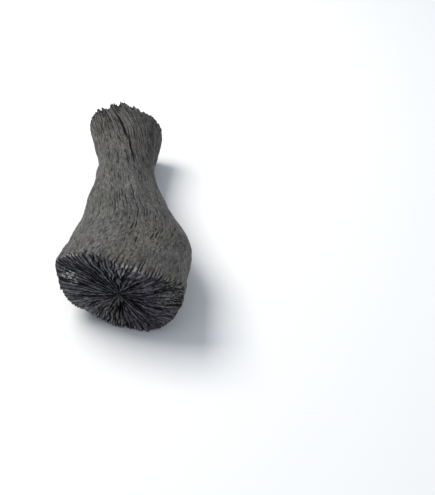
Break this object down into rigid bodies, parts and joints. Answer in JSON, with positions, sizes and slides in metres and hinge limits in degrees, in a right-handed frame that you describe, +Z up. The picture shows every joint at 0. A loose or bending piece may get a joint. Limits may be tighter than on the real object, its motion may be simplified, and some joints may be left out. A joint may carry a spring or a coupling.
{
  "type": "charcoal lump",
  "caption": "Lump of hardwood charcoal lying on its side: a branch that narrows from its flared foot and widens again, with radially cracked cut ends.",
  "frame": {"origin": "the middle of the underside of the bounding box, on the surface that the lump lies on", "axes": "+Z up from that surface, +Y along the branch from the flared foot towards the far end, +X across it"},
  "size_m": [0.0789, 0.1884, 0.0573],
  "materials": {
    "charcoal": "charred hardwood: matt brownish black grain on the side, darker bluish black on the cracked cut ends, with a little pale ash"
  },
  "bodies": {
    "root": {"charcoal_lump": "charcoal"}
  },
  "joints": []
}
